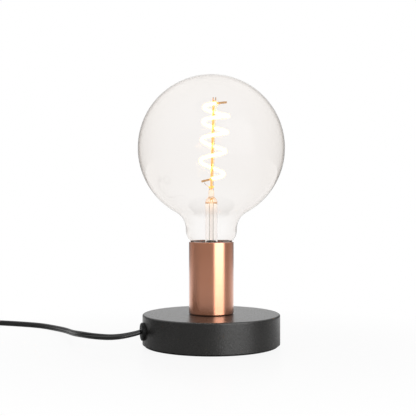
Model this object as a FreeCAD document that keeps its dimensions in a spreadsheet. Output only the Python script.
import FreeCAD, Part

import math
import os
from types import SimpleNamespace

import Sketcher

# Table lamp with a bare globe bulb: a weighted drum base, a metal sleeve round a screw lamp holder,
# a large clear bulb with a spiral filament, and a flex with an in-line switch, a coil and a plug.
# Millimetres, +Z up. The origin is the centre of the base's underside, and the front faces -Y.

Vector = FreeCAD.Vector
Rotation = FreeCAD.Rotation
UP = Vector(0, 0, 1)

SIZES = {
    # base
    "exit_turn": 15,  # degrees from the left towards the front, where the flex leaves
    "base_radius": 58.5,
    "base_height": 26.5,
    "base_wall": 1.8,
    "base_roof": 2,
    "base_edge_round": 1.4,
    "pad_thickness": 1.5,
    "pad_inset": 1.8,
    "plate_thickness": 1.2,
    "plate_gap": 0.3,
    "ballast_gap": 2.7,  # between the weight and the drum's wall
    "ballast_web": 6,
    "ballast_well": 30,
    "ballast_chamfer": 1.5,
    "flex_slot": 15,
    "screw_ring": 44,
    "screw_count": 3,
    "screw_shank": 1.5,
    "screw_head": 2.8,
    "screw_reach": 9,
    "screw_gap": 0.1,
    # flex entry and anchor
    "entry_height": 13.3,
    "bush_flange": 7.5,
    "bush_flange_depth": 2.3,
    "bush_neck": 4.7,
    "bush_collar": 5.8,
    "bush_collar_depth": 1.8,
    "bush_hole_gap": 0.15,
    "anchor_centre": 27,
    "anchor_length": 11,
    "anchor_width": 13.5,
    "anchor_drop": 3.5,  # the flex inside lies this much lower at the anchor
    "inside_straight": 9,  # from the bush's face inwards
    "inside_descent": 13,
    "anchor_bar": 3.2,
    "anchor_split": 0.8,
    "anchor_screw_spread": 4.9,
    "anchor_screw_shank": 1,
    "anchor_screw_head": 1.8,
    "anchor_screw_head_depth": 1.3,
    # central stack
    "nipple_radius": 5,
    "nipple_bore": 3.6,
    "nipple_tail": 2.2,  # below the nut
    "nipple_grip": 5.5,  # above the sleeve's floor
    "nipple_gap": 0.2,
    "nut_flats": 14,
    "nut_thickness": 3,
    "washer_radius": 9,
    "washer_thickness": 0.8,
    # sleeve
    "sleeve_radius": 19.05,
    "sleeve_wall": 1,
    "sleeve_floor": 1.2,
    "sleeve_length": 61.1,
    "sleeve_foot_round": 1.2,
    "sleeve_rim_round": 0.4,
    # lamp holder
    "dome_height": 19.8,
    "dome_collar": 8.2,
    "dome_collar_height": 4.5,
    "dome_radius": 15.8,
    "dome_wall": 2,
    "dome_thread_length": 5.5,
    "skirt_radius": 17.5,
    "skirt_bore": 14.5,
    "skirt_length": 41,
    "skirt_lap": 5.2,
    "skirt_gap": 0.15,
    "insert_flange": 3,
    "insert_boss": 1.5,
    "insert_boss_radius": 13.2,
    "insert_tail": 6.5,
    "insert_tail_radius": 12.6,
    "terminal_spread": 8,
    "terminal_hole": 1.6,
    "shell_bore": 13.35,
    "shell_wall": 0.4,
    "shell_length": 27.5,
    "shell_lip": 6,
    "tongue_rise": 3.5,
    "tongue_width": 5,
    "strip_thickness": 0.4,
    "rivet_shank": 1.3,
    "rivet_head": 2.1,
    "rivet_head_depth": 0.6,
    "core_radius": 1,
    "core_spread": 1.1,
    "core_straight": 1.5,  # below the insert
    "terminal_screw_rise": 3.2,
    "terminal_screw_shank": 1.1,
    "terminal_screw_head": 1.9,
    "terminal_screw_head_depth": 0.8,
    # bulb
    "contact_gap": 0.3,
    "turning_gap": 0.1,
    "contact_radius": 4.8,
    "contact_depth": 2.2,
    "contact_dome": 0.9,
    "insulator_radius": 11.6,
    "insulator_depth": 4.4,
    "cap_length": 27,
    "cap_radius": 13.05,
    "cap_wall": 0.35,
    "cap_rim_radius": 13.5,
    "cap_rim_depth": 2.6,
    "globe_radius": 62.5,
    "glass_wall": 0.9,
    "neck_radius": 21.7,
    "neck_blend": 15.9,
    "neck_rise": 42.7,  # from the contact's tip to the foot of the neck's blend
    "neck_straight": 1,
    "shoulder_round": 13.2,
    "glass_foot_radius": 12.6,
    "glass_foot_rise": 21.2,
    "stem_wall": 0.8,
    "stem_radius": 5.2,
    "stem_flare_height": 15,
    "stem_flare_round": 18,
    "stem_rise": 65.2,  # from the contact's tip to the stem's shoulder
    "stem_shoulder": 5,
    "stem_shoulder_round": 6.5,
    "pinch_radius": 2.3,
    "pinch_length": 6,
    "exhaust_radius": 1.25,
    "rod_radius": 1.05,
    "rod_length": 76.5,
    "rod_lean": 1.5,  # degrees
    "lead_radius": 0.3,
    "lead_spread": 1.65,
    "lead_hole_gap": 0.08,
    "lead_clear": 2,  # straight above the pinch
    "filament_radius": 1,
    "filament_turn_radius": 10.4,
    "filament_rise": 84.9,  # from the contact's tip to the filament's lower end
    "filament_lean": 4,  # degrees
    "filament_first_pitch": 20,
    "filament_pitch_drop": 2.7,  # each turn is this much lower than the one below
    "filament_turns": 4,
    "tab_length": 8.6,
    "tab_width": 1.7,
    "tab_thickness": 0.5,
    "board_width": 19,
    "board_height": 13,
    "board_thickness": 1,
    "capacitor_radius": 2.6,
    "capacitor_length": 8,
    "chip_length": 6,
    "chip_depth": 1.6,
    # flex, coil and tie
    "flex_radius": 2.6,
    "coil_centre_x": -229,
    "coil_start_y": -16,
    "coil_inner": 21,
    "coil_step": 5.7,
    "coil_layer": 5.7,
    "coil_base": 3.2,
    "coil_in_halves": 6,
    "coil_out_halves": 5,
    "tie_width": 5,
    "tie_thickness": 0.4,
    "tie_gap": 0.2,
    "tie_round": 2,
    # in-line switch
    "switch_y": 47,
    "switch_length": 62,
    "switch_width": 26,
    "switch_end_width": 13,
    "switch_taper": 12,
    "switch_split": 8,
    "switch_height": 16.5,
    "switch_wall": 1.6,
    "switch_flex_gap": 0.15,
    "switch_edge_round": 1.8,
    "boss_radius": 2.6,
    "boss_along": 17,
    "boss_across": 8.4,
    "case_screw_shank": 1.2,
    "case_screw_head": 2,
    "case_screw_head_depth": 1,
    "case_screw_length": 11,
    "rocker_reach": 10,
    "rocker_width": 11,
    "rocker_shoulder": 3.75,
    "rocker_skirt": 2.1,
    "rocker_gap": 0.4,
    "rocker_valley": 2.2,
    "rocker_pivot_drop": 2.3,
    "rocker_pivot_radius": 1.2,
    "rocker_pivot_gap": 0.1,
    "rocker_pivot_reach": 6.6,
    "rocker_rest": 7,  # degrees off level
    "cheek_thickness": 1.6,
    "cheek_length": 9,
    "cheek_drop": 3.2,
    "terminal_length": 7,
    "terminal_width": 5,
    "terminal_along": 14,
    # plug
    "plug_aside": 6,  # further out than the coil's edge
    "tail_length": 54,  # from the coil's middle to the plug
    "tail_straight": 14,
    "plug_length": 36,
    "plug_front_width": 26,
    "plug_back_width": 17,
    "plug_thickness": 13,
    "plug_back_thickness": 11,
    "plug_round": 4.5,
    "relief_length": 22,
    "relief_root": 4.9,
    "relief_tip": 3.5,
    "relief_groove": 0.8,
    "relief_groove_width": 1.6,
    "relief_groove_count": 4,
    "pin_radius": 2,
    "pin_length": 19,
    "pin_spread": 9.3,
    "pin_point": 1.2,
}


class Size:
    """A number together with the sheet formula that it comes from."""

    def __init__(self, value, formula):
        self.value = float(value)
        self.formula = formula

    def __add__(self, other):
        other = as_size(other)
        return Size(self.value + other.value, f"({self.formula} + {other.formula})")

    def __sub__(self, other):
        other = as_size(other)
        return Size(self.value - other.value, f"({self.formula} - {other.formula})")

    def __mul__(self, other):
        other = as_size(other)
        return Size(self.value * other.value, f"({self.formula} * {other.formula})")

    def __truediv__(self, other):
        other = as_size(other)
        return Size(self.value / other.value, f"({self.formula} / {other.formula})")

    def __neg__(self):
        return Size(-self.value, f"(-1 * {self.formula})")

    def __float__(self):
        return self.value


def as_size(number):
    """A plain number, such as a zero or a half, as a Size."""
    return number if isinstance(number, Size) else Size(number, repr(float(number)))


def root(size):
    """Square root of a Size."""
    return Size(math.sqrt(size.value), f"sqrt({size.formula})")


def other_side(hypotenuse, side):
    """Third side of a right triangle."""
    return root(hypotenuse * hypotenuse - side * side)


ZERO = as_size(0)

doc = FreeCAD.newDocument("BulbLamp")
sheet = doc.addObject("Spreadsheet::Sheet", "Sizes")
for row, (name, number) in enumerate(SIZES.items(), start=1):
    sheet.set(f"A{row}", name)
    sheet.set(f"B{row}", str(number))
    sheet.setAlias(f"B{row}", name)
doc.recompute()
s = SimpleNamespace(**{name: Size(getattr(sheet, name), f"Sizes.{name}") for name in SIZES})

# ---------------------------------------------------------------- heights that several pieces share
plate_top = s.pad_thickness + s.plate_thickness
roof_under = s.base_height - s.base_roof
web_under = roof_under - s.ballast_web
anchor_height = s.entry_height - s.anchor_drop
sleeve_floor_top = s.base_height + s.sleeve_floor
sleeve_rim = s.base_height + s.sleeve_length
dome_rim = sleeve_floor_top + s.dome_height
flange_top = dome_rim + s.insert_flange
insert_top = flange_top + s.insert_boss
insert_under = dome_rim - s.insert_tail
tip = insert_top + s.tongue_rise + s.contact_gap
neck_top = tip + s.neck_rise
globe_centre = neck_top + other_side(s.globe_radius + s.neck_blend, s.neck_radius + s.neck_blend)
glass_foot = tip + s.glass_foot_rise
stem_top = tip + s.stem_rise
pinch_top = stem_top + s.stem_shoulder + s.pinch_length
filament_low = tip + s.filament_rise
cap_low = tip + s.insulator_depth

nodes = []


# ---------------------------------------------------------------- ways of making a piece
def new_body(label):
    """An empty body that will be written under its label."""
    body = doc.addObject("PartDesign::Body", label)
    body.Label = label
    nodes.append(body)
    return body


def origin_feature(body, role):
    """One of a body's own origin planes or axes."""
    return next(item for item in body.Origin.OriginFeatures if item.Role == role)


def tie(item, path, size):
    """Bind a property to the sheet."""
    item.setExpression(path, as_size(size).formula)


def new_sketch(body, plane="XZ_Plane", offset=None):
    """A sketch on an origin plane, or at an offset along that plane's normal."""
    sketch = body.newObject("Sketcher::SketchObject", body.Label + "_sketch")
    sketch.AttachmentSupport = [(origin_feature(body, plane), "")]
    sketch.MapMode = "FlatFace"
    if offset is not None:
        sketch.AttachmentOffset = FreeCAD.Placement(Vector(0, 0, float(offset)), Rotation())
        tie(sketch, "AttachmentOffset.Base.z", offset)
    return sketch


def arc_through(start, end, radius, turn):
    """The smaller arc from start to end, anticlockwise for turn 1 and clockwise for turn -1."""
    chord = end - start
    half = chord.Length / 2
    left = Vector(-chord.y, chord.x, 0).normalize()
    centre = (start + end) / 2 + left * (turn * math.sqrt(max(radius * radius - half * half, 0)))
    first, last = (start, end) if turn > 0 else (end, start)
    angles = [math.atan2(point.y - centre.y, point.x - centre.x) for point in (first, last)]
    return Part.ArcOfCircle(Part.Circle(centre, UP, radius), angles[0], angles[1])


def fix(sketch, kind, size, *where):
    """A dimension of a sketch, tied to the sheet."""
    number = sketch.addConstraint(Sketcher.Constraint(kind, *where, as_size(size).value))
    tie(sketch, f"Constraints[{number}]", size)


def draw(sketch, corners):
    """A closed outline. A corner is (across, up), and (across, up, radius, turn) starts an arc."""
    first = sketch.GeometryCount
    points = [Vector(float(corner[0]), float(corner[1]), 0) for corner in corners]
    ends = []
    for corner, start, end in zip(corners, points, points[1:] + points[:1]):
        if len(corner) == 2:
            sketch.addGeometry(Part.LineSegment(start, end), False)
            ends.append((1, 2))
        else:
            radius, turn = corner[2:]
            sketch.addGeometry(arc_through(start, end, float(radius), turn), False)
            ends.append((1, 2) if turn > 0 else (2, 1))
    count = len(corners)
    for place in range(count):
        follow = (place + 1) % count
        joined = (first + place, ends[place][1], first + follow, ends[follow][0])
        sketch.addConstraint(Sketcher.Constraint("Coincident", *joined))
    for place, corner in enumerate(corners):
        fix(sketch, "DistanceX", corner[0], first + place, ends[place][0])
        fix(sketch, "DistanceY", corner[1], first + place, ends[place][0])
        if len(corner) > 2:
            fix(sketch, "Radius", corner[2], first + place)


def draw_circle(sketch, across, up, radius):
    """A circle whose centre and radius follow the sheet."""
    number = sketch.GeometryCount
    centre = Vector(float(across), float(up), 0)
    sketch.addGeometry(Part.Circle(centre, UP, float(radius)), False)
    fix(sketch, "DistanceX", across, number, 3)
    fix(sketch, "DistanceY", up, number, 3)
    fix(sketch, "Radius", radius, number)


def rectangle(left, right, low, high):
    """Corners of an upright rectangle."""
    return [(left, low), (right, low), (right, high), (left, high)]


def rounded(half_width, half_height, radius, middle=ZERO):
    """Corners of a rectangle with rounded corners, centred across and at middle up."""
    inner_x = half_width - radius
    low, high = middle - half_height, middle + half_height
    return [
        (-inner_x, low),
        (inner_x, low, radius, 1),
        (half_width, low + radius),
        (half_width, high - radius, radius, 1),
        (inner_x, high),
        (-inner_x, high, radius, 1),
        (-half_width, high - radius),
        (-half_width, low + radius, radius, 1),
    ]


def revolve(body, corners, axis="V_Axis", groove=False):
    """Turn an outline in the body's XZ plane about one of the sketch's axes."""
    before = body.Shape.Volume if groove else 0
    sketch = new_sketch(body)
    draw(sketch, corners)
    kind = "PartDesign::Groove" if groove else "PartDesign::Revolution"
    feature = body.newObject(kind, body.Label + "_turned")
    feature.Profile = (sketch, [""])
    feature.ReferenceAxis = (sketch, [axis])
    feature.Angle = 360
    doc.recompute()
    if groove and body.Shape.Volume >= before:
        raise RuntimeError(f"{body.Label}: the groove cuts nothing")
    return feature


def pad(body, sketch, length, both_ways=False, down=False):
    """Extrude a sketch."""
    feature = body.newObject("PartDesign::Pad", body.Label + "_pad")
    feature.Profile = sketch
    feature.Length = float(length)
    tie(feature, "Length", length)
    feature.Midplane = both_ways
    feature.Reversed = down
    doc.recompute()
    return feature


def pocket(body, sketch, length, both_ways=False, flip=False):
    """Cut a sketch out of the body, and make sure that it cuts."""
    before = body.Shape.Volume
    feature = body.newObject("PartDesign::Pocket", body.Label + "_pocket")
    feature.Profile = sketch
    feature.Length = float(length)
    tie(feature, "Length", length)
    feature.Midplane = both_ways
    feature.Reversed = flip
    doc.recompute()
    if body.Shape.Volume >= before - 1e-6:
        raise RuntimeError(f"{body.Label}: a pocket cuts nothing")
    return feature


def round_edges(body, radius, chosen):
    """Fillet the edges of the body's last feature that a test picks."""
    base = body.Tip
    names = [f"Edge{i}" for i, edge in enumerate(base.Shape.Edges, start=1) if chosen(edge)]
    feature = body.newObject("PartDesign::Fillet", body.Label + "_round")
    feature.Base = (base, names)
    feature.Radius = float(radius)
    tie(feature, "Radius", radius)
    doc.recompute()
    return feature


def mirror(body, originals, plane):
    """Repeat features across an origin plane."""
    feature = body.newObject("PartDesign::Mirrored", body.Label + "_mirror")
    feature.Originals = originals
    feature.MirrorPlane = (origin_feature(body, plane), [""])
    body.Tip = feature
    doc.recompute()
    return feature


def ring_of(body, originals, count):
    """Repeat features round the body's Z axis."""
    feature = body.newObject("PartDesign::PolarPattern", body.Label + "_ring")
    feature.Originals = originals
    feature.Axis = (origin_feature(body, "Z_Axis"), [""])
    feature.Angle = 360
    feature.Occurrences = round(float(count))
    tie(feature, "Occurrences", count)
    body.Tip = feature
    doc.recompute()
    return feature


def turn_to_exit(body):
    """Swing a piece that is drawn with the flex leaving along -X round to the real exit."""
    body.Placement = FreeCAD.Placement(Vector(), Rotation(UP, float(s.exit_turn)))
    tie(body, "Placement.Rotation.Angle", s.exit_turn)


def plain_node(label, shape):
    """A piece whose shape comes from its own formula."""
    item = doc.addObject("Part::Feature", label)
    item.Label = label
    item.Shape = shape
    nodes.append(item)
    return item


# ---------------------------------------------------------------- tubes along a path
def unit(vector):
    return Vector(vector).normalize()


def rounded_route(points, name):
    """Straight runs joined by tangent arcs, each as large as its shorter run allows."""
    share = 0.45
    edges = []
    radii = []
    last = points[0]
    for before, corner, after in zip(points, points[1:], points[2:]):
        run_in, run_out = corner - before, after - corner
        turn = run_in.getAngle(run_out)
        setback = share * min(run_in.Length, run_out.Length)
        radius = setback / math.tan(turn / 2)
        inward = unit(unit(run_out) - unit(run_in))
        start = corner - unit(run_in) * setback
        end = corner + unit(run_out) * setback
        middle = corner + inward * (radius / math.cos(turn / 2) - radius)
        edges.append(Part.LineSegment(last, start).toShape())
        edges.append(Part.Arc(start, middle, end).toShape())
        radii.append(radius)
        last = end
    edges.append(Part.LineSegment(last, points[-1]).toShape())
    print(name, "bend radii", [round(radius, 1) for radius in radii])
    return edges


def arc_leaving(start, direction, end):
    """The arc that leaves start along direction and reaches end, with its closing direction."""
    chord = unit(end - start)
    across = direction - chord * direction.dot(chord)
    closing = chord * (2 * direction.dot(chord)) - direction
    half = direction.getAngle(chord)
    middle = (start + end) / 2 + unit(across) * ((end - start).Length / 2 * math.tan(half / 2))
    return Part.Arc(start, middle, end).toShape(), closing


def two_arcs(start, leaving, end, arriving):
    """A smooth pair of arcs between two points with given directions."""
    span = end - start
    both = leaving + arriving
    spread = 2 * (1 - leaving.dot(arriving))
    forward = span.dot(both)
    reach = (math.sqrt(forward * forward + spread * span.dot(span)) - forward) / spread
    joint = (start + end + (leaving - arriving) * reach) / 2
    first, turned = arc_leaving(start, leaving, joint)
    second, _ = arc_leaving(joint, turned, end)
    return [first, second]


def tube(edges, radius, name):
    """A round tube along a chain of edges, checked against its section and length."""
    path = Part.Wire(edges)
    first = edges[0]
    start = first.valueAt(first.FirstParameter)
    heading = first.tangentAt(first.FirstParameter)
    ring = Part.Wire(Part.makeCircle(radius, start, heading))
    solid = path.makePipeShell([ring], True, False)
    expected = math.pi * radius * radius * path.Length
    print(f"{name}: length {path.Length:.1f}, volume {solid.Volume / expected:.4f} of the expected")
    if abs(solid.Volume / expected - 1) > 0.02:
        raise RuntimeError(f"{name}: the tube's volume is wrong")
    return solid


def least_gap(edges, radius, skip):
    """Least distance between a tube's own turns, on points further apart along it than skip."""
    step = radius / 2
    points = []
    travelled = 0
    for edge in edges:
        count = max(2, int(edge.Length / step))
        for number in range(count):
            place = edge.Length * number / count
            points.append((travelled + place, edge.valueAt(edge.getParameterByLength(place))))
        travelled += edge.Length
    closest = min(
        one.distanceToPoint(two)
        for index, (along, one) in enumerate(points)
        for beyond, two in points[index + 1 :]
        if beyond - along > skip and abs(one.x - two.x) + abs(one.y - two.y) < 6 * radius
    )
    return closest - 2 * radius


# ---------------------------------------------------------------- base
def make_base_drum():
    """Spun metal drum, open below, with the nipple's hole in its roof and the flex hole in its wall."""
    inner = s.base_radius - s.base_wall
    hole = s.nipple_radius + s.nipple_gap
    body = new_body("base_drum")
    revolve(
        body,
        [
            (hole, roof_under),
            (inner, roof_under),
            (inner, s.pad_thickness),
            (s.base_radius, s.pad_thickness),
            (s.base_radius, s.base_height - s.base_edge_round, s.base_edge_round, 1),
            (s.base_radius - s.base_edge_round, s.base_height),
            (hole, s.base_height),
        ],
    )
    sketch = new_sketch(body, "YZ_Plane")
    draw_circle(sketch, ZERO, s.entry_height, s.bush_neck + s.bush_hole_gap)
    pocket(body, sketch, s.base_radius * 1.1)
    turn_to_exit(body)


def make_base_underside():
    """Closing plate with countersunk holes, the pad under it and the three screws."""
    outer = s.base_radius - s.base_wall - s.plate_gap
    body = new_body("base_plate")
    revolve(body, rectangle(ZERO, outer, s.pad_thickness, plate_top))
    countersink = [
        (ZERO, s.pad_thickness),
        (s.screw_head + s.screw_gap, s.pad_thickness),
        (s.screw_shank + s.screw_gap, plate_top),
        (ZERO, plate_top),
    ]
    hole = revolve_at(body, countersink, s.screw_ring, groove=True)
    ring_of(body, [hole], s.screw_count)
    turn_to_exit(body)

    body = new_body("anti_slip_pad")
    pad_radius = s.base_radius - s.pad_inset
    revolve(body, rectangle(ZERO, pad_radius, ZERO, s.pad_thickness))

    body = new_body("base_screws")
    outline = [
        (ZERO, s.pad_thickness),
        (s.screw_head, s.pad_thickness),
        (s.screw_shank, plate_top),
        (s.screw_shank, plate_top + s.screw_reach - s.screw_shank),
        (ZERO, plate_top + s.screw_reach),
    ]
    screw = revolve_at(body, outline, s.screw_ring)
    ring_of(body, [screw], s.screw_count)
    turn_to_exit(body)


def revolve_at(body, corners, distance, groove=False):
    """Turn an outline, drawn round zero, about an upright line at a distance from the centre."""
    sketch = new_sketch(body)
    draw(sketch, [(distance + corner[0], *corner[1:]) for corner in corners])
    low, high = float(corners[0][1]), float(corners[-1][1])
    line = sketch.GeometryCount
    here = float(distance)
    axis = Part.LineSegment(Vector(here, low - 1, 0), Vector(here, high + 1, 0))
    sketch.addGeometry(axis, True)
    sketch.addConstraint(Sketcher.Constraint("Vertical", line))
    fix(sketch, "DistanceX", distance, line, 1)
    kind = "PartDesign::Groove" if groove else "PartDesign::Revolution"
    feature = body.newObject(kind, body.Label + "_turned")
    feature.Profile = (sketch, [""])
    feature.ReferenceAxis = (sketch, ["Axis0"])
    feature.Angle = 360
    doc.recompute()
    return feature


def make_ballast():
    """Cast weight: a web under the roof, a heavy rim on the plate, a well and a slot for the flex."""
    body = new_body("ballast_weight")
    outer = s.base_radius - s.base_wall - s.ballast_gap
    revolve(
        body,
        [
            (s.nipple_radius + s.nipple_gap, web_under),
            (s.ballast_well, web_under),
            (s.ballast_well, plate_top),
            (outer - s.ballast_chamfer, plate_top),
            (outer, plate_top + s.ballast_chamfer),
            (outer, roof_under - s.ballast_chamfer),
            (outer - s.ballast_chamfer, roof_under),
            (s.nipple_radius + s.nipple_gap, roof_under),
        ],
    )
    sketch = new_sketch(body, "XY_Plane", plate_top)
    half = s.flex_slot / 2
    draw(sketch, rectangle(-outer * 1.1, -s.ballast_well * 0.5, -half, half))
    pocket(body, sketch, web_under - plate_top, flip=True)
    hole = [
        (ZERO, plate_top),
        (s.screw_shank + s.screw_gap, plate_top),
        (s.screw_shank + s.screw_gap, plate_top + s.screw_reach),
        (ZERO, plate_top + s.screw_reach + s.screw_shank),
    ]
    drilled = revolve_at(body, hole, s.screw_ring, groove=True)
    ring_of(body, [drilled], s.screw_count)
    turn_to_exit(body)


def make_flex_bush():
    """Flanged bush that lines the drum's flex hole, with a flange curved to the wall."""
    body = new_body("flex_bush")
    face = s.base_radius + s.bush_flange_depth
    wall_inside = s.base_radius - s.base_wall
    bore = s.flex_radius + s.switch_flex_gap
    flange = [
        (-face, bore),
        (-(s.base_radius * 0.9), bore),
        (-(s.base_radius * 0.9), s.bush_flange),
        (-(face - s.bush_flange_depth / 2), s.bush_flange, s.bush_flange_depth / 2, 1),
        (-face, s.bush_flange - s.bush_flange_depth / 2),
    ]
    revolve(body, flange, axis="H_Axis")
    sketch = new_sketch(body, "XY_Plane")
    draw_circle(sketch, ZERO, ZERO, s.base_radius)
    pocket(body, sketch, s.bush_flange * 3, both_ways=True)
    collar = wall_inside - s.bush_hole_gap * 3
    neck = [
        (-(s.base_radius + s.bush_flange_depth / 4), bore),
        (-(collar - s.bush_collar_depth), bore),
        (-(collar - s.bush_collar_depth), s.bush_neck),
        (-collar, s.bush_collar),
        (-collar, s.bush_neck),
        (-(s.base_radius + s.bush_flange_depth / 4), s.bush_neck),
    ]
    revolve(body, neck, axis="H_Axis")
    turn_to_exit(body)
    body.Placement.Base = Vector(0, 0, float(s.entry_height))
    tie(body, "Placement.Base.z", s.entry_height)


def make_anchor():
    """Two-part cord anchor on the plate, where the flex is clamped inside the base."""
    half_width = s.anchor_width / 2
    right = -(s.anchor_centre - s.anchor_length / 2)
    left = -(s.anchor_centre + s.anchor_length / 2)
    grip = s.flex_radius + s.screw_gap
    split_low = anchor_height - s.anchor_split / 2
    split_high = anchor_height + s.anchor_split / 2
    bar_top = split_high + s.flex_radius + s.anchor_bar / 2
    for label, low, high in (
        ("anchor_block", plate_top, split_low),
        ("anchor_bar", split_high, bar_top),
    ):
        body = new_body(label)
        sketch = new_sketch(body, "YZ_Plane", left)
        draw(sketch, rectangle(-half_width, half_width, low, high))
        pad(body, sketch, right - left)
        sketch = new_sketch(body, "YZ_Plane", left)
        draw_circle(sketch, ZERO, anchor_height, grip)
        pocket(body, sketch, right - left, flip=True)
        sketch = new_sketch(body, "XY_Plane", low)
        for side in (-1, 1):
            spot = s.anchor_screw_spread * side
            draw_circle(sketch, -s.anchor_centre, spot, s.anchor_screw_shank + s.screw_gap)
        pocket(body, sketch, high - low, flip=True)
        turn_to_exit(body)

    body = new_body("anchor_screws")
    head_top = bar_top + s.anchor_screw_head_depth
    for radius, low, high in (
        (s.anchor_screw_shank, plate_top + s.screw_gap, bar_top),
        (s.anchor_screw_head, bar_top, head_top),
    ):
        sketch = new_sketch(body, "XY_Plane", low)
        for side in (-1, 1):
            draw_circle(sketch, -s.anchor_centre, s.anchor_screw_spread * side, radius)
        pad(body, sketch, high - low)
    turn_to_exit(body)


# ---------------------------------------------------------------- central stack and sleeve
def make_stack():
    """Hollow threaded nipple with the nut and washer that clamp sleeve, drum and weight."""
    washer_under = web_under - s.washer_thickness
    nut_under = washer_under - s.nut_thickness
    body = new_body("threaded_nipple")
    low = nut_under - s.nipple_tail
    high = sleeve_floor_top + s.nipple_grip
    revolve(body, rectangle(s.nipple_bore, s.nipple_radius, low, high))

    body = new_body("lock_washer")
    hole = s.nipple_radius + s.nipple_gap
    revolve(body, rectangle(hole, s.washer_radius, washer_under, web_under))

    body = new_body("hex_nut")
    sketch = new_sketch(body, "XY_Plane", nut_under)
    half_flat = s.nut_flats / 2
    corner = s.nut_flats / math.sqrt(3)
    draw(
        sketch,
        [
            (corner, ZERO),
            (corner / 2, half_flat),
            (-corner / 2, half_flat),
            (-corner, ZERO),
            (-corner / 2, -half_flat),
            (corner / 2, -half_flat),
        ],
    )
    draw_circle(sketch, ZERO, ZERO, s.nipple_radius + s.screw_gap)
    pad(body, sketch, s.nut_thickness)


def make_sleeve():
    """Brushed metal cup that stands on the drum and hides the lamp holder."""
    outer, inner = s.sleeve_radius, s.sleeve_radius - s.sleeve_wall
    rim, foot = s.sleeve_rim_round, s.sleeve_foot_round
    body = new_body("metal_sleeve")
    revolve(
        body,
        [
            (s.nipple_radius + s.nipple_gap, s.base_height),
            (outer - foot, s.base_height, foot, 1),
            (outer, s.base_height + foot),
            (outer, sleeve_rim - rim, rim, 1),
            (outer - rim, sleeve_rim),
            (inner, sleeve_rim),
            (inner, sleeve_floor_top),
            (s.nipple_radius + s.nipple_gap, sleeve_floor_top),
        ],
    )


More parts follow.
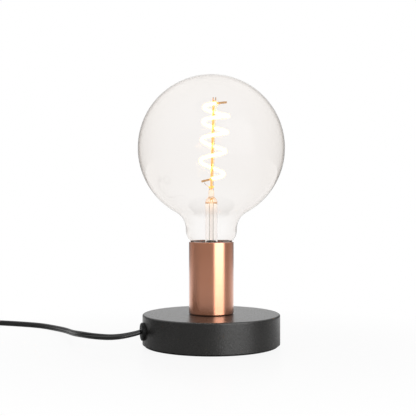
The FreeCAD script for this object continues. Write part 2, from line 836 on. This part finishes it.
# ---------------------------------------------------------------- lamp holder
def make_holder():
    """Dome on the nipple, skirt round the bulb's cap, and the insert that carries the contacts."""
    body = new_body("holder_dome")
    wall = s.dome_wall
    collar_top = sleeve_floor_top + s.dome_collar_height
    thread_low = dome_rim - s.dome_thread_length
    bore = s.nipple_radius + s.screw_gap
    outer, inner = s.dome_radius, s.dome_radius - wall
    round_out = (thread_low - collar_top) * 0.9
    revolve(
        body,
        [
            (bore, sleeve_floor_top),
            (s.dome_collar, sleeve_floor_top),
            (s.dome_collar, collar_top, round_out, 1),
            (outer, thread_low),
            (outer, dome_rim),
            (inner, dome_rim),
            (inner, thread_low, round_out, -1),
            (s.dome_collar - wall / 4, collar_top + wall),
            (bore, collar_top + wall),
        ],
    )

    body = new_body("holder_skirt")
    skirt_low = dome_rim - s.skirt_lap
    skirt_top = skirt_low + s.skirt_length
    lap = s.dome_radius + s.skirt_gap
    revolve(
        body,
        [
            (lap, skirt_low),
            (s.skirt_radius, skirt_low),
            (s.skirt_radius, skirt_top),
            (s.skirt_bore + s.skirt_gap, skirt_top),
            (s.skirt_bore, skirt_top - s.skirt_gap),
            (s.skirt_bore, flange_top),
            (lap, flange_top),
        ],
    )

    body = new_body("terminal_insert")
    revolve(
        body,
        [
            (ZERO, insert_under),
            (s.insert_tail_radius, insert_under),
            (s.insert_tail_radius, dome_rim),
            (s.dome_radius, dome_rim),
            (s.dome_radius, flange_top),
            (s.insert_boss_radius, flange_top),
            (s.insert_boss_radius, insert_top),
            (ZERO, insert_top),
        ],
    )
    sketch = new_sketch(body, "XY_Plane", insert_under)
    for side in (-1, 1):
        draw_circle(sketch, ZERO, s.terminal_spread * side, s.terminal_hole)
    pocket(body, sketch, insert_top - insert_under, flip=True)
    sketch = new_sketch(body, "XZ_Plane")
    screw_height = insert_under + s.terminal_screw_rise
    draw_circle(sketch, ZERO, screw_height, s.terminal_screw_shank + s.screw_gap)
    pocket(body, sketch, s.insert_tail_radius * 2.2, both_ways=True)

    body = new_body("screw_shell")
    outer = s.shell_bore + s.shell_wall
    top = insert_top + s.shell_length
    revolve(
        body,
        [
            (s.shell_lip, insert_top),
            (s.insert_boss_radius - s.screw_gap, insert_top),
            (outer, insert_top + s.shell_wall * 2),
            (outer, top),
            (s.shell_bore, top),
            (s.shell_bore, insert_top + s.shell_wall * 2 + s.screw_gap),
            (s.insert_boss_radius - s.shell_wall, insert_top + s.shell_wall),
            (s.shell_lip, insert_top + s.shell_wall),
        ],
    )
    sketch = new_sketch(body, "XY_Plane", insert_top)
    notch = s.tongue_width / 2 + s.rivet_head_depth
    reach = s.terminal_spread + s.rivet_head + s.rivet_head_depth
    draw(sketch, rectangle(-notch, notch, s.shell_lip * 0.5, reach))
    draw_circle(sketch, ZERO, -s.terminal_spread, s.rivet_shank + s.screw_gap)
    pocket(body, sketch, s.shell_wall, flip=True)

    body = new_body("centre_tongue")
    sketch = new_sketch(body, "YZ_Plane")
    thick = s.strip_thickness
    heel = s.terminal_spread - s.rivet_head
    crest = insert_top + s.tongue_rise
    toe = -s.contact_radius * 0.6
    draw(
        sketch,
        [
            (s.terminal_spread + s.rivet_head, insert_top),
            (s.terminal_spread + s.rivet_head, insert_top + thick),
            (heel, insert_top + thick),
            (s.contact_radius * 0.4, crest),
            (toe, crest),
            (toe, crest - thick),
            (s.contact_radius * 0.4 - thick / 2, crest - thick),
            (heel - thick / 2, insert_top),
        ],
    )
    pad(body, sketch, s.tongue_width, both_ways=True)
    sketch = new_sketch(body, "XY_Plane", insert_top)
    draw_circle(sketch, ZERO, s.terminal_spread, s.rivet_shank + s.screw_gap)
    pocket(body, sketch, thick, flip=True)

    body = new_body("contact_rivets")
    rivet_low = insert_under + s.terminal_screw_rise + s.terminal_screw_shank * 2
    head_low = insert_top + s.strip_thickness
    for radius, low, high in (
        (s.rivet_shank, rivet_low, head_low),
        (s.rivet_head, head_low, head_low + s.rivet_head_depth),
    ):
        sketch = new_sketch(body, "XY_Plane", low)
        for side in (-1, 1):
            draw_circle(sketch, ZERO, s.terminal_spread * side, radius)
        pad(body, sketch, high - low)

    body = new_body("terminal_screws")
    height = insert_under + s.terminal_screw_rise
    inner_end = s.terminal_spread + s.core_radius + s.screw_gap
    screw = [
        (inner_end, ZERO),
        (inner_end, s.terminal_screw_shank),
        (s.insert_tail_radius, s.terminal_screw_shank),
        (s.insert_tail_radius, s.terminal_screw_head),
        (s.insert_tail_radius + s.terminal_screw_head_depth, s.terminal_screw_head),
        (s.insert_tail_radius + s.terminal_screw_head_depth, ZERO),
    ]
    turned = revolve(body, screw, axis="H_Axis")
    mirror(body, [turned], "YZ_Plane")
    body.Placement = FreeCAD.Placement(Vector(0, 0, float(height)), Rotation(UP, 90))
    tie(body, "Placement.Base.z", height)


# ---------------------------------------------------------------- bulb
def make_cap():
    """Screw cap: contact button, insulating cone and thin metal shell."""
    body = new_body("cap_contact")
    button_top = tip + s.contact_depth
    edge = tip + s.contact_dome
    round_face = (s.contact_radius * s.contact_radius / s.contact_dome + s.contact_dome) / 2
    revolve(
        body,
        [
            (ZERO, tip, round_face, 1),
            (s.contact_radius, edge),
            (s.contact_radius, button_top),
            (ZERO, button_top),
        ],
    )

    body = new_body("cap_insulator")
    recess = s.contact_radius + s.turning_gap
    low = edge + s.turning_gap
    revolve(
        body,
        [
            (recess, low),
            (recess + s.contact_dome, low),
            (s.insulator_radius, cap_low),
            (s.insulator_radius, cap_low + s.contact_dome),
            (ZERO, cap_low + s.contact_dome),
            (ZERO, button_top + s.turning_gap),
            (recess, button_top + s.turning_gap),
        ],
    )

    body = new_body("cap_shell")
    rim_low = tip + s.cap_length - s.cap_rim_depth
    rim_top = tip + s.cap_length
    wall = s.cap_wall
    revolve(
        body,
        [
            (s.insulator_radius, cap_low),
            (s.cap_radius - wall, cap_low + wall),
            (s.cap_radius, cap_low + wall * 3),
            (s.cap_radius, rim_low),
            (s.cap_rim_radius, rim_low + wall),
            (s.cap_rim_radius, rim_top),
            (s.cap_rim_radius - wall, rim_top),
            (s.cap_rim_radius - wall, rim_low + wall * 2),
            (s.cap_radius - wall, rim_low + wall),
            (s.cap_radius - wall, cap_low + wall * 4),
            (s.insulator_radius, cap_low + wall * 2),
        ],
    )


def make_driver():
    """Small circuit board that stands on the insulator inside the cap, with its parts."""
    low = cap_low + s.contact_dome
    body = new_body("driver_board")
    sketch = new_sketch(body, "XZ_Plane")
    half = s.board_width / 2
    draw(sketch, rectangle(-half, half, low, low + s.board_height))
    pad(body, sketch, s.board_thickness, both_ways=True)

    body = new_body("driver_parts")
    face = s.board_thickness / 2
    radius = s.capacitor_radius
    sketch = new_sketch(body, "XY_Plane", low + radius / 2)
    draw_circle(sketch, -radius * 1.4, face + radius, radius)
    pad(body, sketch, s.capacitor_length)
    sketch = new_sketch(body, "XY_Plane", low + s.chip_length / 2)
    chip = rectangle(radius, radius + s.chip_length, -(face + s.chip_depth), -face)
    draw(sketch, chip)
    pad(body, sketch, s.chip_length)


def make_globe():
    """Clear blown envelope: sphere, blend, short neck and shoulder down into the cap."""
    radius, wall, blend = s.globe_radius, s.glass_wall, s.neck_blend
    neck, shoulder = s.neck_radius, s.shoulder_round
    blend_x, blend_z = neck + blend, neck_top
    shoulder_x, shoulder_z = neck - shoulder, blend_z - s.neck_straight
    foot = s.glass_foot_radius
    inner_foot = foot - wall

    def touch(size):
        """Where a globe of this radius meets the blend."""
        share = size / (radius + blend)
        return blend_x * share, globe_centre - (globe_centre - blend_z) * share

    def fall(round_size, across):
        """Height at which the shoulder's round reaches a distance from the axis."""
        return shoulder_z - other_side(round_size, across - shoulder_x)

    body = new_body("glass_globe")
    revolve(
        body,
        [
            (ZERO, globe_centre + radius, radius, -1),
            (*touch(radius), blend, 1),
            (neck, blend_z),
            (neck, shoulder_z, shoulder, -1),
            (foot, fall(shoulder, foot)),
            (foot, glass_foot),
            (inner_foot, glass_foot),
            (inner_foot, fall(shoulder - wall, inner_foot), shoulder - wall, 1),
            (neck - wall, shoulder_z),
            (neck - wall, blend_z, blend + wall, -1),
            (*touch(radius - wall), radius - wall, 1),
            (ZERO, globe_centre + radius - wall),
        ],
    )


def make_stem():
    """Flared glass stem with its pinch, the exhaust tube inside it and the rod on top."""
    wall, tube_radius = s.stem_wall, s.stem_radius
    foot = s.glass_foot_radius - s.glass_wall - s.screw_gap
    flare_top = glass_foot + s.stem_flare_height
    body = new_body("stem_glass")
    revolve(
        body,
        [
            (foot, glass_foot, s.stem_flare_round, -1),
            (tube_radius, flare_top),
            (tube_radius, stem_top, s.stem_shoulder_round, 1),
            (s.pinch_radius, stem_top + s.stem_shoulder),
            (s.pinch_radius, pinch_top - wall),
            (s.rod_radius, pinch_top),
            (ZERO, pinch_top),
            (ZERO, stem_top + s.stem_shoulder / 2),
            (s.exhaust_radius + wall / 4, stem_top + s.stem_shoulder / 2),
            (tube_radius - wall, stem_top - wall),
            (tube_radius - wall, flare_top, s.stem_flare_round + wall, 1),
            (foot - wall, glass_foot),
        ],
    )
    sketch = new_sketch(body, "XY_Plane", pinch_top)
    for side in (-1, 1):
        draw_circle(sketch, s.lead_spread * side, ZERO, s.lead_radius + s.lead_hole_gap)
    pocket(body, sketch, s.pinch_length + s.stem_shoulder * 2)

    body = new_body("exhaust_tube")
    low = glass_foot + s.stem_wall
    revolve(body, rectangle(ZERO, s.exhaust_radius, low, stem_top + s.stem_shoulder / 2))

    body = new_body("support_rod")
    top = s.rod_length
    revolve(
        body,
        [
            (ZERO, ZERO),
            (s.rod_radius, ZERO),
            (s.rod_radius, top - s.rod_radius, s.rod_radius, 1),
            (ZERO, top),
        ],
    )
    body.Placement = FreeCAD.Placement(Vector(), Rotation(Vector(0, 1, 0), float(s.rod_lean)))
    tie(body, "Placement.Rotation.Angle", s.rod_lean)
    seat = s.rod_radius * math.sin(math.radians(float(s.rod_lean)))
    tie(body, "Placement.Base.z", pinch_top + seat)


def filament_height(turns):
    """Height along the filament's own axis after so many turns: each turn rises a little less."""
    first, drop = float(s.filament_first_pitch), float(s.filament_pitch_drop)
    return (first + drop / 2) * turns - drop / 2 * turns * turns


def filament_point(turns):
    """A point of the filament's centreline and its direction there, in its own frame."""
    angle = 2 * math.pi * turns - math.pi / 2
    radius = float(s.filament_turn_radius)
    first, drop = float(s.filament_first_pitch), float(s.filament_pitch_drop)
    climb = first + drop / 2 - drop * turns
    point = Vector(radius * math.cos(angle), radius * math.sin(angle), filament_height(turns))
    round_trip = 2 * math.pi * radius
    heading = Vector(-round_trip * math.sin(angle), round_trip * math.cos(angle), climb)
    return point, unit(heading)


def filament_placement():
    """The filament leans a little to the right as it rises."""
    lean = Rotation(Vector(0, 1, 0), float(s.filament_lean))
    return FreeCAD.Placement(Vector(0, 0, float(filament_low)), lean)


def make_filament():
    """Flexible filament wound as an open right-handed spiral, with a metal tab at each end."""
    quarters = round(float(s.filament_turns) * 4)
    edges = []
    for quarter in range(quarters):
        start, leaving = filament_point(quarter / 4)
        end, arriving = filament_point((quarter + 1) / 4)
        edges += two_arcs(start, leaving, end, arriving)
    radius = float(s.filament_radius)
    print("filament least gap", round(least_gap(edges, radius, 20), 2))
    spiral = plain_node("filament_spiral", tube(edges, radius, "filament_spiral"))
    spiral.Placement = filament_placement()

    tabs = []
    for turns, way in ((0, -1), (float(s.filament_turns), 1)):
        point, heading = filament_point(turns)
        length, width, thick = float(s.tab_length), float(s.tab_width), float(s.tab_thickness)
        strip = Part.makeBox(length, thick, width, Vector(0, -thick / 2, -width / 2))
        strip.Placement = FreeCAD.Placement(point, Rotation(Vector(1, 0, 0), heading * way))
        tabs.append(strip)
    both = plain_node("filament_tabs", Part.makeCompound(tabs))
    both.Placement = filament_placement()


def make_leads():
    """The two nickel wires: a short one to the lower tab and one along the rod to the upper tab."""
    radius = float(s.lead_radius)
    spread = float(s.lead_spread)
    bottom = float(cap_low + s.contact_dome + s.board_height)
    gate = float(pinch_top)
    clear = gate + float(s.lead_clear)
    frame = filament_placement()
    ends = []
    for turns, way in ((0, -1), (float(s.filament_turns), 1)):
        point, heading = filament_point(turns)
        inset = float(s.tab_thickness) / 2 + radius
        held = point + heading * (way * float(s.tab_length) * 0.7) + Vector(0, inset, 0)
        ends.append(frame.multVec(held))
    low_end, high_end = ends
    low_bend = Vector(low_end.x, 0, low_end.z - float(s.lead_clear))
    lean = math.tan(math.radians(float(s.rod_lean)))
    high_x = spread + (high_end.z - gate) * lean
    high_bend = Vector(high_x, 0, high_end.z - float(s.lead_clear) / 2)
    solids = []
    for across, bend, end in ((-spread, low_bend, low_end), (spread, high_bend, high_end)):
        straight = Part.LineSegment(Vector(across, 0, bottom), Vector(across, 0, gate)).toShape()
        free = [Vector(across, 0, gate), Vector(across, 0, clear), bend, end]
        solids.append(tube([straight, *rounded_route(free, "lead")], radius, "lead_wire"))
    plain_node("lead_wires", Part.makeCompound(solids))


# ---------------------------------------------------------------- flex
def exit_frame(across, along, up):
    """A point given from the exit: across the drum's axis outwards, sideways, and up."""
    turn = math.radians(float(s.exit_turn))
    outward = Vector(-math.cos(turn), -math.sin(turn), 0)
    sideways = Vector(math.sin(turn), -math.cos(turn), 0)
    return outward * across + sideways * along + Vector(0, 0, up)


def make_flex_inside():
    """The flex from the bush to the anchor, and its two cores up through the nipple."""
    low, high = float(anchor_height), float(s.entry_height)
    face = float(s.base_radius + s.bush_flange_depth)
    stripped = float(s.anchor_centre - s.anchor_length)
    straight = float(s.inside_straight)
    points = [
        exit_frame(face, 0, high),
        exit_frame(face - straight, 0, high),
        exit_frame(face - straight - float(s.inside_descent), 0, low),
        exit_frame(stripped, 0, low),
    ]
    solid = tube(rounded_route(points, "flex inside"), float(s.flex_radius), "flex_inside")
    plain_node("flex_inside", solid)
    names = {-1: "live_core", 1: "neutral_core"}
    for side, name in names.items():
        spread = float(s.core_spread) * side
        rise = float(sleeve_floor_top + s.nipple_grip)
        top = float(insert_under + s.terminal_screw_rise + s.terminal_screw_shank)
        held = float(s.terminal_spread) * side
        turn = math.radians(float(s.exit_turn))
        points = [
            exit_frame(stripped, -spread, low),
            Vector(math.sin(turn) * -spread, math.cos(turn) * spread, low),
            Vector(0, spread, rise),
            Vector(0, held, float(insert_under - s.core_straight)),
            Vector(0, held, top),
        ]
        solid = tube(rounded_route(points, name), float(s.core_radius), name)
        plain_node(name, solid)


coil_outer = s.coil_inner + s.coil_step * (s.coil_in_halves + 1) / 2
coil_left = s.coil_centre_x - coil_outer
switch_back = s.switch_y - s.switch_length / 2
switch_front = s.switch_y + s.switch_length / 2
lead_end_y = float(s.coil_start_y)
coil_y = lead_end_y - 2 * float(s.flex_radius)


def make_flex():
    """The free flex: from the bush across the table to the switch, on to the coil and the plug."""
    rest, radius = float(s.flex_radius), float(s.flex_radius)
    face = float(s.base_radius + s.bush_flange_depth)
    run = [
        exit_frame(face, 0, float(s.entry_height)),
        exit_frame(face + 7.7, 0, float(s.entry_height)),
        Vector(-80, -21.5, 9.6),
        Vector(-96.5, -19, 9.6),
        Vector(-118.5, 0, 9.4),
        Vector(-118.5, 39, rest),
        Vector(-131, 58.5, rest),
        Vector(-148, 79, rest),
        Vector(-164.5, 95.5, rest),
        Vector(-190, 107.5, rest),
        Vector(-215, 116, rest),
        Vector(-240, 122, rest),
        Vector(-262, 110.5, 3.4),
        Vector(float(coil_left), 90, 7.4),
        Vector(float(coil_left), float(switch_front), float(s.switch_split)),
    ]
    plain_node("flex_run", tube(rounded_route(run, "flex run"), radius, "flex_run"))
    lead = [
        Vector(float(coil_left), float(switch_back), float(s.switch_split)),
        Vector(float(coil_left), 6, 7.4),
        Vector(float(coil_left), -6, float(s.coil_base)),
        Vector(float(coil_left), lead_end_y, float(s.coil_base)),
    ]
    plain_node("flex_lead", tube(rounded_route(lead, "flex lead"), radius, "flex_lead"))


def coil_path():
    """Half turns that spiral in on the table, climb one layer and spiral out again on top."""
    centre, step = float(s.coil_centre_x), float(s.coil_step) / 2
    low, high = float(s.coil_base), float(s.coil_base + s.coil_layer)
    size = float(coil_outer)
    side, heading = -1, Vector(0, -1, 0)
    here = Vector(centre - size, coil_y, low)
    edges = [Part.LineSegment(Vector(here.x, lead_end_y, low), here).toShape()]
    plan = [(-step, low)] * round(float(s.coil_in_halves)) + [(-step, high)]
    plan += [(2 * step, high)] + [(step, high)] * (round(float(s.coil_out_halves)) - 1)
    for change, height in plan:
        side = -side
        size += change
        there = Vector(centre + side * size, coil_y, height)
        edges += two_arcs(here, heading, there, -heading)
        here, heading = there, -heading
    end = here + heading * (2 * float(s.flex_radius))
    edges.append(Part.LineSegment(here, end).toShape())
    return edges, end


def make_coil():
    """The spare flex, wound in two layers, and the tail from it to the plug."""
    radius = float(s.flex_radius)
    edges, end = coil_path()
    print("flex coil least gap", round(least_gap(edges, radius, 8 * radius), 2))
    plain_node("flex_coil", tube(edges, radius, "flex_coil"))
    entry = plug_entry()
    straight = float(s.tail_straight)
    tail = [
        end,
        Vector(end.x, end.y - straight, end.z),
        Vector(entry.x, entry.y + straight, entry.z),
        entry,
    ]
    plain_node("flex_tail", tube(rounded_route(tail, "flex tail"), radius, "flex_tail"))


def plug_entry():
    """Where the flex goes into the plug's strain relief."""
    across = float(coil_left - s.plug_aside)
    return Vector(across, coil_y - float(s.tail_length), float(s.plug_thickness) / 2)


def make_tie():
    """Thin band round the coil's turns, on the side away from the climb between its layers."""
    body = new_body("coil_tie")
    wire, gap, thick = s.flex_radius, s.tie_gap, s.tie_thickness
    lowest = s.coil_base - wire - gap
    highest = s.coil_base + s.coil_layer + wire + gap
    near = coil_outer - s.coil_step * 0.75 + wire + gap
    far = s.coil_inner + s.coil_step / 4 - wire - gap
    half_width, half_height = (near - far) / 2, (highest - lowest) / 2
    sketch = new_sketch(body, "YZ_Plane")
    draw(sketch, rounded(half_width + thick, half_height + thick, s.tie_round + thick))
    draw(sketch, rounded(half_width, half_height, s.tie_round))
    pad(body, sketch, s.tie_width, both_ways=True)
    place_y = (near + far) / 2 + coil_y
    middle = (lowest + highest) / 2
    place = Vector(float(s.coil_centre_x), float(place_y), float(middle))
    body.Placement = FreeCAD.Placement(place, Rotation())
    tie(body, "Placement.Base.x", s.coil_centre_x)
    tie(body, "Placement.Base.y", place_y)
    tie(body, "Placement.Base.z", middle)


# ---------------------------------------------------------------- in-line switch
def place_switch(body):
    """The switch is drawn along X and lies along the flex, on the table."""
    place = Vector(float(coil_left), float(s.switch_y), 0)
    body.Placement = FreeCAD.Placement(place, Rotation(UP, -90))
    tie(body, "Placement.Base.x", coil_left)
    tie(body, "Placement.Base.y", s.switch_y)


def case_outline(inset):
    """Plan of the switch case, drawn in by an inset: wide in the middle and narrow at its ends."""
    end, wide = s.switch_length / 2 - inset, s.switch_width / 2 - inset
    narrow, start = s.switch_end_width / 2 - inset, s.switch_length / 2 - s.switch_taper - inset / 2
    return [
        (-end, -narrow),
        (-start, -wide),
        (start, -wide),
        (end, -narrow),
        (end, narrow),
        (start, wide),
        (-start, wide),
        (-end, narrow),
    ]


def bosses(body, low, high, radius):
    """Round posts, or with a smaller radius the holes in them, at two corners across the case."""
    sketch = new_sketch(body, "XY_Plane", low)
    for side in (-1, 1):
        draw_circle(sketch, s.boss_along * side, s.boss_across * side, radius)
    return sketch, high - low


def flex_holes(body):
    """Round holes at both ends of the case, half in each shell."""
    sketch = new_sketch(body, "YZ_Plane")
    draw_circle(sketch, ZERO, s.switch_split, s.flex_radius + s.switch_flex_gap)
    pocket(body, sketch, s.switch_length * 1.1, both_ways=True)


def make_switch_case():
    """Lower and upper shells of the switch, screwed together at two corner posts."""
    wall = s.switch_wall
    body = new_body("switch_base")
    sketch = new_sketch(body, "XY_Plane")
    draw(sketch, case_outline(ZERO))
    pad(body, sketch, s.switch_split)
    round_edges(body, s.switch_edge_round, lambda edge: edge.BoundBox.ZMax < 0.01)
    sketch = new_sketch(body, "XY_Plane", wall)
    draw(sketch, case_outline(wall))
    pocket(body, sketch, s.switch_split - wall, flip=True)
    sketch, length = bosses(body, wall, s.switch_split, s.boss_radius)
    pad(body, sketch, length)
    sketch, length = bosses(body, ZERO, s.switch_split, s.case_screw_shank + s.screw_gap)
    pocket(body, sketch, length, flip=True)
    head = s.case_screw_head + s.screw_gap
    sketch, length = bosses(body, ZERO, s.case_screw_head_depth + s.screw_gap, head)
    pocket(body, sketch, length, flip=True)
    flex_holes(body)
    place_switch(body)

    body = new_body("switch_cover")
    sketch = new_sketch(body, "XY_Plane", s.switch_split)
    draw(sketch, case_outline(ZERO))
    pad(body, sketch, s.switch_height - s.switch_split)
    top = float(s.switch_height)
    round_edges(body, s.switch_edge_round, lambda edge: edge.BoundBox.ZMin > top - 0.01)
    sketch = new_sketch(body, "XY_Plane", s.switch_split)
    draw(sketch, case_outline(wall))
    roof = s.switch_height - wall
    pocket(body, sketch, roof - s.switch_split, flip=True)
    sketch, length = bosses(body, s.switch_split, roof, s.boss_radius)
    pad(body, sketch, length)
    screw_top = s.case_screw_head_depth + s.case_screw_length
    sketch, length = bosses(body, s.switch_split, screw_top, s.case_screw_shank + s.screw_gap)
    pocket(body, sketch, length, flip=True)
    inner = s.rocker_width / 2 + s.rocker_gap
    for side in (-1, 1):
        sketch = new_sketch(body, "XY_Plane", roof - s.cheek_drop)
        near, far = inner * side, (inner + s.cheek_thickness) * side
        first, second = (near, far) if side > 0 else (far, near)
        half = s.cheek_length / 2
        draw(sketch, rectangle(-half, half, first, second))
        pad(body, sketch, s.cheek_drop)
    sketch = new_sketch(body, "XY_Plane", roof)
    reach = s.rocker_reach + s.rocker_gap
    draw(sketch, rectangle(-reach, reach, -inner, inner))
    pocket(body, sketch, wall, flip=True)
    sketch = new_sketch(body, "XZ_Plane")
    pivot = s.switch_height - s.rocker_pivot_drop
    draw_circle(sketch, ZERO, pivot, s.rocker_pivot_radius + s.rocker_pivot_gap)
    reach = s.rocker_pivot_reach + s.rocker_pivot_gap
    pocket(body, sketch, reach * 2, both_ways=True)
    flex_holes(body)
    place_switch(body)

    body = new_body("switch_screws")
    head_top = s.case_screw_head_depth
    for radius, low, high in (
        (s.case_screw_head, s.screw_gap, head_top),
        (s.case_screw_shank, head_top, head_top + s.case_screw_length - s.screw_gap),
    ):
        sketch, length = bosses(body, low, high, radius)
        pad(body, sketch, length)
    place_switch(body)

    body = new_body("switch_terminals")
    sketch = new_sketch(body, "XY_Plane", wall)
    half_x, half_y = s.terminal_length / 2, s.terminal_width / 2
    for side in (-1, 1):
        middle = s.terminal_along * side
        draw(sketch, rectangle(middle - half_x, middle + half_x, -half_y, half_y))
    pad(body, sketch, s.switch_split - wall)
    place_switch(body)


def make_rocker():
    """Rocker with round ends and a shallow valley, tipped to its ON side at rest."""
    body = new_body("switch_rocker")
    reach = s.rocker_reach
    high, low = s.rocker_shoulder, -s.rocker_skirt
    high_x, low_x = other_side(reach, high), other_side(reach, low)
    sketch = new_sketch(body, "XZ_Plane")
    draw(
        sketch,
        [
            (-low_x, low),
            (low_x, low, reach, 1),
            (high_x, high),
            (ZERO, s.rocker_valley),
            (-high_x, high, reach, 1),
        ],
    )
    pad(body, sketch, s.rocker_width, both_ways=True)
    sketch = new_sketch(body, "XZ_Plane")
    draw_circle(sketch, ZERO, ZERO, s.rocker_pivot_radius)
    pad(body, sketch, s.rocker_pivot_reach * 2, both_ways=True)
    pivot = s.switch_height - s.rocker_pivot_drop
    along_flex = Rotation(UP, -90)
    tip_over = Rotation(Vector(0, 1, 0), float(s.rocker_rest))
    place = Vector(float(coil_left), float(s.switch_y), float(pivot))
    body.Placement = FreeCAD.Placement(place, along_flex.multiply(tip_over))
    tie(body, "Placement.Base.x", coil_left)
    tie(body, "Placement.Base.y", s.switch_y)
    tie(body, "Placement.Base.z", pivot)


# ---------------------------------------------------------------- plug
def place_plug(body):
    """The plug is drawn with its pins along +X and lies on the table, pins towards the front."""
    entry = plug_entry()
    front = entry.y - float(s.relief_length + s.plug_length)
    body.Placement = FreeCAD.Placement(Vector(entry.x, front, entry.z), Rotation(UP, -90))
    tie(body, "Placement.Base.z", s.plug_thickness / 2)


def make_plug():
    """Flat two-pin plug: tapered body, ribbed strain relief and two round pins."""
    body = new_body("plug_body")
    front = new_sketch(body, "YZ_Plane")
    draw(front, rounded(s.plug_front_width / 2, s.plug_thickness / 2, s.plug_round))
    back = new_sketch(body, "YZ_Plane", -s.plug_length)
    draw(back, rounded(s.plug_back_width / 2, s.plug_back_thickness / 2, s.plug_round))
    loft = body.newObject("PartDesign::AdditiveLoft", "plug_body_loft")
    loft.Profile = front
    loft.Sections = [back]
    loft.Ruled = True
    doc.recompute()
    count = round(float(s.relief_groove_count))
    depth, width = s.relief_groove, s.relief_groove_width
    pitch = s.relief_length / (s.relief_groove_count + 1)
    taper = (s.relief_root - s.relief_tip) / s.relief_length
    start, end = -(s.plug_length - s.plug_round / 2), -(s.plug_length + s.relief_length)
    corners = [(end, s.flex_radius * 0.4), (start, s.flex_radius * 0.4), (start, s.relief_root)]
    for number in range(1, count + 1):
        middle = pitch * number
        for offset, inset in ((-0.5, 0), (-0.5, 1), (0.5, 1), (0.5, 0)):
            place = middle + width * offset
            corners.append((-(s.plug_length + place), s.relief_root - taper * place - depth * inset))
    corners.append((end, s.relief_tip))
    revolve(body, corners, axis="H_Axis")
    place_plug(body)

    body = new_body("plug_pins")
    sketch = new_sketch(body, "XY_Plane")
    length, radius, spread = s.pin_length, s.pin_radius, s.pin_spread
    draw(
        sketch,
        [
            (ZERO, spread),
            (length, spread),
            (length, spread + radius - s.pin_point),
            (length - s.pin_point, spread + radius),
            (ZERO, spread + radius),
        ],
    )
    line = sketch.GeometryCount
    level = float(spread)
    axis = Part.LineSegment(Vector(-1, level, 0), Vector(float(length) + 1, level, 0))
    sketch.addGeometry(axis, True)
    sketch.addConstraint(Sketcher.Constraint("Horizontal", line))
    fix(sketch, "DistanceY", spread, line, 1)
    pin = body.newObject("PartDesign::Revolution", "plug_pins_turned")
    pin.Profile = (sketch, [""])
    pin.ReferenceAxis = (sketch, ["Axis0"])
    pin.Angle = 360
    doc.recompute()
    mirror(body, [pin], "XZ_Plane")
    place_plug(body)


# ---------------------------------------------------------------- build, check and write
make_base_drum()
make_base_underside()
make_ballast()
make_flex_bush()
make_anchor()
make_stack()
make_sleeve()
make_holder()
make_cap()
make_driver()
make_globe()
make_stem()
make_filament()
make_leads()
make_flex_inside()
make_flex()
make_coil()
make_tie()
make_switch_case()
make_rocker()
make_plug()
doc.recompute()

for item in doc.Objects:
    if "Invalid" in item.State or "Error" in item.State:
        raise RuntimeError(f"{item.Label} failed: {item.State}")
for item in nodes:
    shape = item.Shape
    if shape.isNull() or not shape.isValid() or not shape.Solids:
        raise RuntimeError(f"{item.Label} has no valid solid")

os.makedirs("parts", exist_ok=True)
for item in nodes:
    item.Shape.exportStep(os.path.join("parts", item.Label + ".step"))
print(len(nodes), "nodes written")
